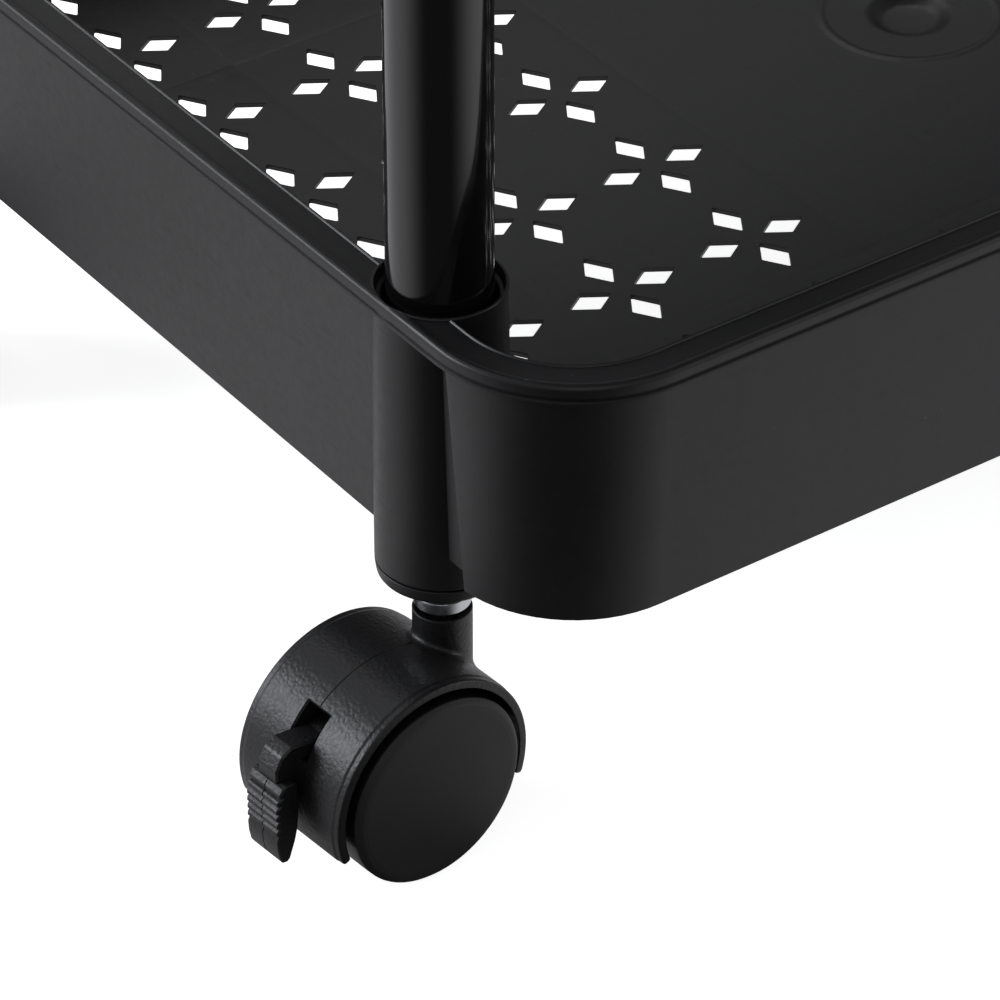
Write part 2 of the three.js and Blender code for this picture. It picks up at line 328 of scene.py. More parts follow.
def wall_section():
    """(inset, height) pairs from the floor's top edge over the rim and back under to its lower edge."""
    fillet = [(FLOOR_INSET, 0), (10.1, 0.12), (9.62, 0.45), (9.32, 0.95), (9.2, 1.6)]
    lip = [(8.25, 55.4), (8.2, 55.72), (8.02, 55.86), (7.78, 55.84), (7.62, 55.7), (7.5, 55.56)]
    flange = [(7.2, 55.5), (2.35, 55.5), (2.12, 55.58), (1.95, 55.84), (1.65, 56)]
    bead = [(1.0, 56), (0.62, 55.92), (0.29, 55.7), (0.08, 55.38), (0, 55)]
    band = [(0.05, 53.5), (0.22, 53.25), (0.55, 53.05), (0.55, 52.7), (0.12, 52.45), (0, 52.2)]
    band += [(0.02, 51.9), (0.3, 51.7), (WALL_TOP, 51.7)]
    foot = [(WALL_FOOT, -1.5), (4.28, -1.84), (4.5, -2), (5.5, -2), (5.7, -1.9), (5.78, -1.7)]
    channel = [(4.05, 53.6), (4.25, 54), (6.0, 54), (6.2, 53.8), (7.2, -0.8), (7.5, FLOOR_UNDER)]
    channel += [(FLOOR_INSET, FLOOR_UNDER)]
    return fillet + lip + flange + bead + band + foot + channel


def flower_centres():
    for row in range(-ROWS, ROWS):
        for column in range(-COLUMNS, COLUMNS):
            x = (row + 0.5) * ROW_PITCH
            y = (column + 0.5) * COLUMN_PITCH
            if abs(x) > PLAIN_X or abs(y) > PLAIN_Y:
                yield x, y


def petal_outline():
    middle = (PETAL_NEAR + PETAL_FAR) / 2
    corners = [
        (PETAL_NEAR, 0, PETAL_ROUND),
        (middle, -PETAL_HALF, PETAL_ROUND),
        (PETAL_FAR, 0, PETAL_ROUND),
        (middle, PETAL_HALF, PETAL_ROUND),
    ]
    return soften(corners, steps=2)


def floor_relief(x, y):
    """Height of the floor's top face: shallow dish and ring in the middle, sink lines over the ribs."""
    radius = math.hypot(x, y)
    if radius < DISH_RADIUS:
        slope = (radius - DISH_FLAT) / (DISH_RADIUS - DISH_FLAT)
        depth = 0.5 + 0.5 * math.cos(math.pi * min(1.0, max(0.0, slope)))
        return -DISH_DEPTH * depth
    if abs(radius - RING_RADIUS) < RING_HALF:
        return RING_HEIGHT * (0.5 + 0.5 * math.cos(math.pi * (radius - RING_RADIUS) / RING_HALF))
    near = min(
        abs(abs(y) - PLAIN_Y),
        abs(abs(x) - PLAIN_X),
        abs(abs(x) - OUTER_RIB_X),
    )
    return -SINK_DEPTH * max(0.0, 1 - near / SINK_HALF)


def rib_lines():
    """Straight lines of the ribs under the floor, as pairs of ends."""
    end_x = TRAY_LENGTH / 2 - FLOOR_INSET - 4
    end_y = TRAY_WIDTH / 2 - FLOOR_INSET - 4
    for sign in (-1, 1):
        yield (-end_x, sign * PLAIN_Y), (end_x, sign * PLAIN_Y)
        yield (sign * PLAIN_X, -end_y), (sign * PLAIN_X, end_y)
        yield (sign * OUTER_RIB_X, -end_y), (sign * OUTER_RIB_X, end_y)


class Plan:
    """Points, edges and closed outlines of the floor seen from above."""

    def __init__(self):
        self.points = []
        self.edges = []
        self.faces = []

    def loop(self, ring, face=False):
        start = len(self.points)
        self.points.extend(Vector(p) for p in ring)
        indices = list(range(start, len(self.points)))
        self.edges.extend((a, b) for a, b in zip(indices, indices[1:] + indices[:1]))
        if face:
            self.faces.append(indices)
        return indices

    def line(self, a, b):
        start = len(self.points)
        self.points.extend((Vector(a), Vector(b)))
        self.edges.append((start, start + 1))


def floor_plan():
    """Plan of the floor with its holes, and with points wherever its relief bends."""
    plan = Plan()
    plan.loop([p[:2] for p in rim_loop(FLOOR_INSET, 0)], face=True)
    holes = []
    outline = petal_outline()
    for x, y in flower_centres():
        for quarter in range(4):
            turn = Matrix.Rotation(quarter * math.pi / 2, 2)
            ring = [Vector((x, y)) + turn @ Vector(p) for p in outline]
            holes.append(plan.loop(ring, face=True))
    for radius in RELIEF_RINGS:
        plan.loop([
            (radius * math.cos(2 * math.pi * k / 48), radius * math.sin(2 * math.pi * k / 48))
            for k in range(48)
        ])
    for a, b in rib_lines():
        across = Vector((0, 1)) if a[1] == b[1] else Vector((1, 0))
        for offset in (-SINK_HALF, 0, SINK_HALF):
            plan.line(Vector(a) + across * offset, Vector(b) + across * offset)
    return plan, holes


def pierced_floor():
    """Points and faces of the floor plate, open only along its outer edge."""
    plan, holes = floor_plan()
    flat, _, triangles, origin, _, face_origin = delaunay_2d_cdt(
        plan.points, plan.edges, plan.faces, 1, 1e-4)
    made = {}
    for new, olds in enumerate(origin):
        for old in olds:
            made[old] = new
    kept = [t for t, source in zip(triangles, face_origin) if list(source) == [0]]
    count = len(flat)
    top = [(p.x, p.y, floor_relief(p.x, p.y)) for p in flat]
    under = [(x, y, z + FLOOR_UNDER) for x, y, z in top]
    points = top + under
    faces = [tuple(t) for t in kept]
    faces += [tuple(count + v for v in reversed(t)) for t in kept]
    for hole in holes:
        ring = [made[v] for v in hole]
        centre = sum((flat[v] for v in ring), Vector((0, 0))) / len(ring)
        start = len(points)
        for v in ring:
            away = flat[v] - centre
            inward = flat[v] - away.normalized() * HOLE_EDGE
            points[count + v] = (inward.x, inward.y, FLOOR_UNDER)
            points.append((inward.x, inward.y, -HOLE_EDGE))
        size = len(ring)
        for k in range(size):
            m = (k + 1) % size
            faces.append((ring[k], ring[m], start + m, start + k))
            faces.append((start + k, start + m, count + ring[m], count + ring[k]))
    return points, faces


def open_tray():
    """The moulding without its post bosses."""
    points, faces = pierced_floor()
    rings = [rim_loop(inset, z) for inset, z in wall_section()]
    wall_points, wall_faces = skin(rings)
    start = len(points)
    points += wall_points
    faces += [tuple(start + v for v in face) for face in wall_faces]
    return mesh_from("open_tray", points, faces)


def boss_mesh():
    profile = soften([
        (0, BOSS_FOOT), (BOSS_RADIUS, BOSS_FOOT, 0.5), (BOSS_RADIUS - 0.05, RIM_TOP, 0.35), (0, RIM_TOP),
    ], closed=False)
    return lathe("boss", profile, 112, closed=False)


def bore_mesh(shoulder):
    """Cutter for the post's seat: stepped funnel at the top, shoulder for the tube to bear on."""
    seat = shoulder + SHOULDER_HEIGHT
    profile = [
        (0, BOSS_FOOT - 1), (SHOULDER_RADIUS, BOSS_FOOT - 1), (SHOULDER_RADIUS, seat),
        (BORE_RADIUS, seat), (BORE_RADIUS, 50.2), (11.15, 52.6), (11.6, 53.5), (12.3, 53.9),
        (12.55, 54.4), (12.75, RIM_TOP - 0.15), (12.95, RIM_TOP + 0.1), (12.95, RIM_TOP + 1),
        (0, RIM_TOP + 1),
    ]
    if shoulder > BOSS_FOOT:
        profile[1:3] = [
            (BORE_RADIUS, BOSS_FOOT - 1), (BORE_RADIUS, shoulder), (SHOULDER_RADIUS, shoulder),
            (SHOULDER_RADIUS, seat),
        ]
    return lathe("bore", profile, 112, closed=False)


def rib_mesh(a, b):
    """Rib under the floor."""
    half = Vector((RIB_HALF, RIB_HALF))
    low = Vector(a) - half
    high = Vector(b) + half
    corners = [(low.x, low.y), (high.x, low.y), (high.x, high.y), (low.x, high.y)]
    points, faces = skin([[(x, y, z) for x, y in corners] for z in (RIB_FOOT, -0.8)])
    faces += [(0, 1, 2, 3), (4, 5, 6, 7)]
    return mesh_from("rib", points, faces)


def valley_cutter(sx, sy):
    """Removes the outer wall between a post boss and the tray's corner, up to a rounded edge."""
    rings = []
    for level in (VALLEY_FOOT, VALLEY_HEAD):
        inner, outer, edge = level["inner"], level["outer"], level["edge"]
        outline = [(inner, VALLEY_START), (VALLEY_REACH, VALLEY_START), (VALLEY_REACH, edge)]
        for step in range(9):
            turn = step * math.pi / 16
            in_by = VALLEY_EDGE * (1 - math.cos(turn))
            outline.append((outer - in_by, edge - VALLEY_EDGE * math.sin(turn)))
        outline.append((inner, edge - VALLEY_EDGE))
        rings.append([(sx * x, sy * y, level["z"]) for x, y in outline])
    points, faces = skin(rings)
    count = len(rings[0])
    faces += [tuple(range(count)), tuple(range(count, 2 * count))]
    return mesh_from("valley", points, faces)


def valley_web(sx, sy):
    """Closes the hollow wall beside the valley."""
    rings = []
    for level, z in ((VALLEY_FOOT, WEB_FOOT), (VALLEY_HEAD, WEB_HEAD)):
        low_x, high_x = level["inner"] - 0.5, level["outer"] - 0.7
        low_y, high_y = level["edge"] - VALLEY_EDGE - 0.4, level["edge"] + 0.8
        outline = [(low_x, low_y), (high_x, low_y), (high_x, high_y), (low_x, high_y)]
        rings.append([(sx * x, sy * y, z) for x, y in outline])
    points, faces = skin(rings)
    faces += [(0, 1, 2, 3), (4, 5, 6, 7)]
    return mesh_from("web", points, faces)


def post_places():
    for name in CORNERS:
        low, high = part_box(f"lower_post_{name}")
        yield name, (low.x + high.x) / 2 / MM, (low.y + high.y) / 2 / MM


def tray_mesh(name, base, shoulder):
    boss = boss_mesh()
    bore = bore_mesh(shoulder)
    steps = [("UNION", rib_mesh(a, b)) for a, b in rib_lines()]
    steps += [("UNION", valley_web(sx, sy)) for sx, sy in CORNERS.values()]
    steps += [("DIFFERENCE", valley_cutter(sx, sy)) for sx, sy in CORNERS.values()]
    steps += [("UNION", shifted(boss, x, y)) for _, x, y in post_places()]
    steps += [("DIFFERENCE", shifted(bore, x, y)) for _, x, y in post_places()]
    return carve(name, base, steps)


def build_trays(plastic):
    base = open_tray()
    bottom = tray_mesh("bottom_tray_mesh", base, BOTTOM_SHOULDER)
    upper = tray_mesh("upper_tray_mesh", base, UPPER_SHOULDER)
    for tier, mesh in (("bottom", bottom), ("middle", upper), ("top", upper)):
        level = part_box(f"{tier}_tray")[1].z / MM - RIM_TOP
        place(f"{tier}_tray_moulding", mesh, plastic, "frame",
              [f"{tier}_tray"], at(0, 0, level))


# ---- Posts and handles ----
def tube_section(edge=0.3):
    return [
        (TUBE_INNER, edge), (TUBE_INNER + edge, 0), (POST_RADIUS - edge, 0), (POST_RADIUS, edge),
    ]


def post_mesh(length):
    foot = tube_section()
    head = [(r, length - h) for r, h in reversed(foot)]
    return lathe("post_mesh", foot + head, 96)


def build_posts(paint):
    meshes = {}
    for tier in ("lower", "upper"):
        for name, x, y in post_places():
            node = f"{tier}_post_{name}"
            low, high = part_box(node)
            if tier not in meshes:
                meshes[tier] = post_mesh((high.z - low.z) / MM)
            place(f"{tier}_tube_{name}", meshes[tier], paint, "frame", [node],
                  at(x, y, low.z / MM))


def handle_mesh(low, half_width):
    """U-shaped tube in the YZ plane, standing on z = low."""
    path = [(-half_width, low, 0.0)]
    for side in (-1, 1):
        for i in range(BEND_STEPS + 1):
            turn = (math.pi / 2) * (i if side < 0 else BEND_STEPS - i) / BEND_STEPS
            y = half_width - HANDLE_BEND + HANDLE_BEND * math.cos(turn)
            z = HANDLE_TOP - HANDLE_BEND + HANDLE_BEND * math.sin(turn)
            path.append((side * y, z, turn if side < 0 else math.pi - turn))
    path.append((half_width, low, math.pi))
    rings = []
    for radius in (POST_RADIUS, TUBE_INNER):
        tube = []
        for y, z, turn in path:
            ring = []
            for k in range(HANDLE_SIDES):
                around = 2 * math.pi * k / HANDLE_SIDES
                reach = radius * math.cos(around)
                ring.append((
                    radius * math.sin(around),
                    y - reach * math.cos(turn),
                    z + reach * math.sin(turn),
                ))
            tube.append(ring)
        rings.append(tube)
    loops = rings[0] + list(reversed(rings[1]))
    points, faces = skin(loops, along=True)
    return mesh_from("handle_mesh", points, faces)


def build_handles(paint):
    for side in ("left", "right"):
        node = f"handle_{side}"
        low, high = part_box(node)
        half_width = (high.y - low.y) / 2 / MM - POST_RADIUS
        mesh = handle_mesh(low.z / MM, half_width)
        x = (low.x + high.x) / 2 / MM
        place(f"handle_tube_{side}", mesh, paint, "frame", [node], at(x, 0, 0))


# ---- Caster sockets and stems ----
def socket_mesh():
    """Plug in the foot of a post; its flange top is at z = 0."""
    profile = soften([
        (4.2, -SOCKET_FLANGE, 0.3), (BOSS_RADIUS - 0.35, -SOCKET_FLANGE, 1.2),
        (BOSS_RADIUS, 0, 0.25), (9.1, 0), (9.1, SOCKET_REACH, 0.8), (4.2, SOCKET_REACH),
    ])
    return lathe("socket_mesh", profile, 96)


def stem_mesh():
    """Threaded-in stem and its collar; z = 0 is the axle's height."""
    profile = soften([
        (0, 6), (3, 6, 0.4), (3, 30.4), (5.5, 30.4, 0.25), (COLLAR_RADIUS, 30.8, 0.3),
        (COLLAR_RADIUS, 33.3, 0.4), (5.2, 33.8, 0.3), (STEM_RADIUS, 33.8), (STEM_RADIUS, 63.8, 0.6),
        (0, 63.8),
    ], closed=False)
    return lathe("stem_mesh", profile, 72, closed=False)


def build_sockets(fitting, zinc):
    socket = socket_mesh()
    stem = stem_mesh()
    for name, x, y in post_places():
        node = f"caster_socket_{name}"
        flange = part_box(node)[1].z / MM - SOCKET_REACH
        place(f"post_foot_{name}", socket, fitting, "frame", [node],
              at(x, y, flange))
        place(f"swivel_stem_{name}", stem, zinc, "frame", [f"caster_stem_{name}"],
              at(x, y, AXLE_LEVEL))


# ---- Casters ----
def round_at(degrees, radius):
    angle = math.radians(degrees)
    return radius * math.cos(angle), radius * math.sin(angle)


def hood_section():
    """(radius, v) outline of the hood's band: rolled lips at both edges and a parting groove."""
    near = [
        (HOOD_INNER, -HOOD_HALF, 0.3), (HOOD_RADIUS - 0.2, -HOOD_HALF, 0.6),
        (HOOD_RADIUS - 0.16, -HOOD_HALF + 1.5, 0.5), (HOOD_RADIUS, -HOOD_HALF + 2.1, 0.6),
        (HOOD_RADIUS, -0.22), (HOOD_RADIUS - 0.16, -0.09),
    ]
    far = [(corner[0], -corner[1], *corner[2:]) for corner in reversed(near)]
    return soften(near + far)


def band_mesh():
    """The hood's band, open below the foot, with rounded ends."""
    section = hood_section()
    middle = (HOOD_INNER + HOOD_RADIUS) / 2
    start = math.degrees(math.asin(HOOD_FOOT / HOOD_RADIUS))
    angles = [start, start + 0.4, start + 1.1, start + 2.2]
    angles += [start + 2.2 + k * (175.6 - 2 * start) / 84 for k in range(1, 85)]
    angles += [180 - start - 1.1, 180 - start - 0.4, 180 - start]
    last = len(angles) - 1
    draw = {0: 0.42, 1: 0.2, 2: 0.06, last - 2: 0.06, last - 1: 0.2, last: 0.42}
    rings = []
    for i, degrees in enumerate(angles):
        ring = []
        inset = draw.get(i, 0)
        for radius, v in section:
            r = middle + (radius - middle) * (1 - inset * 0.9)
            w = v * (1 - inset * 0.5 / HOOD_HALF)
            u, z = round_at(degrees, r)
            ring.append((u, w, z))
        rings.append(ring)
    points, faces = skin(rings)
    count = len(section)
    faces.append(tuple(range(count)))
    faces.append(tuple(range(len(points) - count, len(points))))
    return mesh_from("band", points, faces)


def slot_mesh():
    """Cutter for the lever's slot in the hood, flared at the outer face."""
    rings = []
    flare = (SLOT_HALF + 0.35, 0.8)
    for radius, (half, spread) in (
        (18.6, (SLOT_HALF, 0)), (HOOD_RADIUS - 0.5, (SLOT_HALF, 0)), (HOOD_RADIUS, flare), (27, flare),
    ):
        ring = []
        for sign in (-1, 1):
            for step in range(9):
                part = step / 8 if sign < 0 else 1 - step / 8
                degrees = SLOT_FROM - spread + part * (SLOT_TO - SLOT_FROM + 2 * spread)
                u, z = round_at(degrees, radius)
                ring.append((u, sign * half, z))
        rings.append(ring)
    points, faces = skin(rings)
    count = len(rings[0])
    faces += [tuple(range(count)), tuple(range(len(points) - count, len(points)))]
    return mesh_from("slot", points, faces)


def neck_mesh():
    """Column round the stem, with a thin rim round a cup at the top."""
    profile = soften([
        (0, 8), (NECK_RADIUS, 8), (NECK_RADIUS, NECK_TOP, 0.25), (NECK_RADIUS - 0.5, NECK_TOP, 0.15),
        (NECK_RADIUS - 0.55, NECK_TOP - 3), (0, NECK_TOP - 3),
    ], closed=False)
    mesh = lathe("neck", profile, 96, closed=False)
    mesh.transform(at(-TRAIL, 0, 0))
    return mesh


def fillet_mesh():
    """Ring that blends the neck into the round of the hood."""
    def crown(u):
        return math.sqrt(max(HOOD_RADIUS ** 2 - u ** 2, 4))

    rings = []
    for k in range(96):
        turn = 2 * math.pi * k / 96
        c, s = math.cos(turn), math.sin(turn)
        ring = [(NECK_RADIUS - 1, crown(-TRAIL + (NECK_RADIUS - 1) * c) - 0.9)]
        ring.append((NECK_RADIUS - 1, crown(-TRAIL + NECK_RADIUS * c) + NECK_FILLET))
        for step in range(9):
            angle = step / 8 * math.pi / 2
            r = NECK_RADIUS + NECK_FILLET * (1 - math.cos(angle))
            ring.append((r, crown(-TRAIL + r * c) + NECK_FILLET * (1 - math.sin(angle))))
        r = NECK_RADIUS + NECK_FILLET
        ring.append((r, crown(-TRAIL + r * c) - 0.4))
        rings.append([(-TRAIL + r * c, r * s, z) for r, z in ring])
    points, faces = skin(rings, along=True)
    return mesh_from("fillet", points, faces)


def drum_mesh(radius, half, sides=120):
    """Plain cylinder along the axle."""
    profile = [(0, -half), (radius, -half), (radius, half), (0, half)]
    return lathe("drum", profile, sides, axis="Y", closed=False)


def cross_hole(radius, half, u=0.0, z=0.0):
    """Cutter for a hole along the axle's direction."""
    mesh = drum_mesh(radius, half, 40)
    mesh.transform(at(u, 0, z))
    return mesh


def hood_mesh():
    foot = prism("below", [(-40, -40), (40, -40), (40, HOOD_FOOT), (-40, HOOD_FOOT)], 30)
    room = [(3.6, 7.4), (20.6, 6.6), (20.6, 8.4), round_at(SLOT_TO, 22), (5, 18)]
    fork = prism("fork", room, LEVER_HALF + 0.3)
    stem = lathe("stem_bore", [(0, 5), (3.3, 5), (3.3, 30), (0, 30)], 48, closed=False)
    stem.transform(at(-TRAIL, 0, 0))
    web = drum_mesh(HOOD_RADIUS - 1, WEB_HALF)
    web = carve("web", web, [("DIFFERENCE", foot)])
    column = carve("column", neck_mesh(), [
        ("DIFFERENCE", drum_mesh(HOOD_INNER + 0.3, HOOD_HALF)),
    ])
    return carve("hood_mesh", band_mesh(), [
        ("UNION", web),
        ("UNION", column),
        ("UNION", fillet_mesh()),
        ("DIFFERENCE", stem),
        ("DIFFERENCE", slot_mesh()),
        ("DIFFERENCE", fork),
        ("DIFFERENCE", cross_hole(AXLE_BORE, 5)),
        ("DIFFERENCE", cross_hole(PIN_BORE, 5, PIVOT_U, PIVOT_Z)),
    ])


def wheel_mesh(side):
    """Wheel with a closed outer face; side is +1 or -1 along the axle."""
    profile = soften([
        (0, 16), (AXLE_BORE, 16), (AXLE_BORE, WHEEL_BACK), (HUB_RADIUS, WHEEL_BACK, 0.4),
        (HUB_RADIUS, RECESS_DEPTH), (RECESS_RADIUS, RECESS_DEPTH, 1), (RECESS_RADIUS, WHEEL_BACK, 0.4),
        (WHEEL_RADIUS - 0.1, WHEEL_BACK, 0.6), (WHEEL_RADIUS, 6), (WHEEL_RADIUS, 15.6),
        (WHEEL_RADIUS - 0.06, 17.2, 0.5), (WHEEL_RADIUS - 1.1, WHEEL_FACE - 0.12, 1.3),
        (WHEEL_RADIUS - 2.4, WHEEL_FACE, 0.5), (0, WHEEL_FACE - 0.1),
    ], closed=False)
    mesh = lathe("wheel", [(r, side * h) for r, h in profile], 128, axis="Y", closed=False)
    mesh.name = f"wheel_mesh_{'a' if side > 0 else 'b'}"
    return mesh


def arm_outline():
    """Side view of the lever's arm, from its pivot out through the slot."""
    return soften([
        (5.4, 10.4, 1.2), (11, 9.2, 1), (18, 9.4, 1), (21, 10.6, 1), (23.6, 11.2, 0.6), (25, 10, 0.5),
        (25.6, 7.8, 0.3), (29.4, 7.8, 0.6), (29.6, 10.8, 1.5), (28, 13.8, 1.8), (25.6, 15.2, 1.5),
        (22.4, 14.8, 1.2), (17, 13.8, 1), (11, 14.6, 1.5), (6.4, 14.8, 1.8),
    ], steps=3)


def tab_outline():
    """Side view of the thumb tab: stepped ribs above, a smooth toe below."""
    outline = [(25.4, 2), (25.9, 7.4), (26.6, 7.95), (28.6, 8.1), (29.5, 7.7)]
    top, pitch, ribs = 7.0, 1.85, 6
    for rib in range(ribs):
        z = top - rib * pitch
        lean = 31.05 - 0.9 * max(0, 1 - rib / 1.5)
        outline += [(lean - 0.15, z), (lean + 0.12, z - 0.35), (lean + 0.15, z - pitch * 0.62),
                    (lean - 0.42, z - pitch * 0.8)]
    outline += [(31.15, -4.9), (31.0, -7.4), (30.5, -9.8), (29.9, -10.8), (28.8, -11), (28.0, -10.4),
                (26.6, -6.5), (26.0, -4)]
    return outline


def lever_mesh():
    """Arm and ribbed tab, with a groove down the middle of the tab."""
    arm = prism("arm", arm_outline(), LEVER_HALF, 0.4)
    tab = prism("tab", tab_outline(), TAB_HALF, 0.3)
    groove = prism("groove", shrink(tab_outline(), -0.6), 0.12)
    core = prism("core", shrink(tab_outline(), 0.22), 0.5)
    cut = carve("cut", groove, [("DIFFERENCE", core)])
    return carve("lever_mesh", tab, [
        ("DIFFERENCE", cut),
        ("UNION", arm),
        ("DIFFERENCE", cross_hole(PIN_BORE, 4, PIVOT_U, PIVOT_Z)),
    ], 28)


def axle_mesh():
    profile = soften([
        (0, -AXLE_HALF), (AXLE_RADIUS, -AXLE_HALF, 0.4), (AXLE_RADIUS, AXLE_HALF, 0.4), (0, AXLE_HALF),
    ], closed=False)
    return lathe("axle_mesh", profile, 40, axis="Y", closed=False)


def pin_mesh():
    profile = soften([
        (0, -WEB_HALF), (PIN_RADIUS, -WEB_HALF, 0.25), (PIN_RADIUS, WEB_HALF, 0.25), (0, WEB_HALF),
    ], closed=False)
    mesh = lathe("pin_mesh", profile, 32, axis="Y", closed=False)
    mesh.transform(at(PIVOT_U, 0, PIVOT_Z))
    return mesh


def caster_matrix(name):
    """Place of a caster at rest, from the middle of its axle."""
    sx, sy = CORNERS[name]
    x, y = next((x, y) for corner, x, y in post_places() if corner == name)
    toe = math.radians(FRONT_TOE if sy < 0 else REAR_TOE) * sx * sy
    turn = (math.pi if sx < 0 else 0) + toe
    return at(x, y, AXLE_LEVEL) @ Matrix.Rotation(turn, 4, "Z") @ at(TRAIL, 0, 0)


def build_casters(hood_look, wheel_look, steel):
    hood = hood_mesh()
    wheels = {"a": wheel_mesh(1), "b": wheel_mesh(-1)}
    lever = lever_mesh()
    axle = axle_mesh()
    pin = pin_mesh()
    for name in CORNERS:
        matrix = caster_matrix(name)
        body = f"caster_{name}"
        place(f"hood_shell_{name}", hood, hood_look, body,
              [f"caster_hood_{name}"], matrix)
        place(f"axle_rod_{name}", axle, steel, body, [f"caster_axle_{name}"], matrix)
        place(f"lever_pin_{name}", pin, steel, body, [f"brake_pin_{name}"], matrix)
        for key, mesh in wheels.items():
            place(f"roller_{key}_{name}", mesh, wheel_look,
                  f"wheel_{key}_body_{name}", [f"wheel_{key}_{name}"], matrix)
        place(f"brake_tab_{name}", lever, hood_look, f"brake_{name}",
              [f"brake_lever_{name}"], matrix)


# ---- Materials ----
class Look:
    """Short hand for building one node material in object coordinates."""

    def __init__(self, name):
        self.material = bpy.data.materials.new(name)
        self.material.use_nodes = True
        self.tree = self.material.node_tree
        self.shader = self.tree.nodes["Principled BSDF"]
        self.where = self.tree.nodes.new("ShaderNodeTexCoord").outputs["Object"]

    def join(self, source, target):
        self.tree.links.new(source, target)

    def stretched(self, scale):
        node = self.tree.nodes.new("ShaderNodeMapping")
        node.inputs["Scale"].default_value = scale
        self.join(self.where, node.inputs["Vector"])
        return node.outputs["Vector"]

    def noise(self, scale, detail=3.0, rough=0.55, vector=None):
        node = self.tree.nodes.new("ShaderNodeTexNoise")
        node.inputs["Scale"].default_value = scale
        node.inputs["Detail"].default_value = detail
        node.inputs["Roughness"].default_value = rough
        self.join(vector or self.where, node.inputs["Vector"])
        return node.outputs["Fac"]

    def cells(self, scale, feature="F1"):
        node = self.tree.nodes.new("ShaderNodeTexVoronoi")
        node.feature = feature
        node.inputs["Scale"].default_value = scale
        self.join(self.where, node.inputs["Vector"])
        return node.outputs["Distance"]

    def spread(self, value, low, high, to_low, to_high, smoothly=False):
        node = self.tree.nodes.new("ShaderNodeMapRange")
        if smoothly:
            node.interpolation_type = "SMOOTHSTEP"
        limits = {"From Min": low, "From Max": high, "To Min": to_low, "To Max": to_high}
        for key, number in limits.items():
            node.inputs[key].default_value = number
        self.join(value, node.inputs["Value"])
        return node.outputs["Result"]

    def mix(self, factor, first, second):
        """Blend of two colours, each a tuple or another node's output."""
        node = self.tree.nodes.new("ShaderNodeMix")
        node.data_type = "RGBA"
        self.join(factor, node.inputs["Factor"])
        for key, colour in ((6, first), (7, second)):
            if isinstance(colour, tuple):
                node.inputs[key].default_value = (*colour, 1)
            else:
                self.join(colour, node.inputs[key])
        return node.outputs[2]

    def maths(self, operation, first, second):
        node = self.tree.nodes.new("ShaderNodeMath")
        node.operation = operation
        for key, value in ((0, first), (1, second)):
            if isinstance(value, (int, float)):
                node.inputs[key].default_value = value
            else:
                self.join(value, node.inputs[key])
        return node.outputs[0]

    def along(self, direction, start):
        """Distance from start along a direction."""
        node = self.tree.nodes.new("ShaderNodeVectorMath")
        node.operation = "DOT_PRODUCT"
        node.inputs[1].default_value = direction
        self.join(self.where, node.inputs[0])
        return self.maths("SUBTRACT", node.outputs["Value"], start.dot(direction))

    def bump(self, height, distance, strength=1.0, below=None):
        node = self.tree.nodes.new("ShaderNodeBump")
        node.inputs["Strength"].default_value = strength
        node.inputs["Distance"].default_value = distance
        self.join(height, node.inputs["Height"])
        if below:
            self.join(below, node.inputs["Normal"])
        return node.outputs["Normal"]

    def colour(self, value):
        self.join(value, self.shader.inputs["Base Color"])

    def roughness(self, value):
        self.join(value, self.shader.inputs["Roughness"])

    def normal(self, value):
        self.join(value, self.shader.inputs["Normal"])

    def fixed(self, **values):
        for key, value in values.items():
            self.shader.inputs[key.replace("_", " ")].default_value = value


def tray_plastic():
    """Moulded plastic with flow marks, specks of dust and faint scratches along and across."""
    look = Look("tray_plastic")
    cloud = look.noise(14, 4, 0.6)
    fine = look.noise(420, 3, 0.6)
    flow = look.spread(cloud, 0.35, 0.65, 0, 1)
    tone = look.mix(flow, (0.0105, 0.0105, 0.0115), (0.0165, 0.0160, 0.0165))
    speck = look.spread(look.cells(230), 0.055, 0.075, 1, 0)
    rare = look.spread(look.noise(60, 1), 0.60, 0.66, 0, 0.55)
    look.colour(look.mix(look.maths("MULTIPLY", speck, rare), tone, (0.11, 0.11, 0.115)))
    scratch = look.noise(95, 2, 0.5, look.stretched((1, 14, 14)))
    cross = look.noise(80, 2, 0.5, look.stretched((12, 1.1, 12)))
    worn = look.spread(scratch, 0.62, 0.72, 0, 0.06)
    wear = look.maths("ADD", worn, look.spread(cross, 0.63, 0.73, 0, 0.06))
    base = look.spread(cloud, 0.3, 0.7, 0.36, 0.46)
    grain = look.spread(fine, 0.3, 0.7, -0.03, 0.04)
    look.roughness(look.maths("ADD", base, look.maths("ADD", wear, grain)))
    swell = look.bump(look.noise(26, 2, 0.5), 0.0006, 0.35)
    look.normal(look.bump(fine, 0.00005, 0.5, swell))
    look.fixed(Specular_IOR_Level=0.5, IOR=1.5)
    return look.material


def post_paint():
    """Gloss black paint with a slight orange peel."""
    look = Look("post_paint")
    cloud = look.noise(30, 3)
    look.colour(look.mix(cloud, (0.0035, 0.0035, 0.004), (0.0065, 0.0065, 0.007)))
    look.roughness(look.spread(look.noise(160, 4, 0.6), 0.3, 0.7, 0.10, 0.17))
    look.normal(look.bump(look.noise(210, 2), 0.00004, 0.35))
    look.fixed(Coat_Weight=0.6, Coat_Roughness=0.06, IOR=1.5)
    return look.material


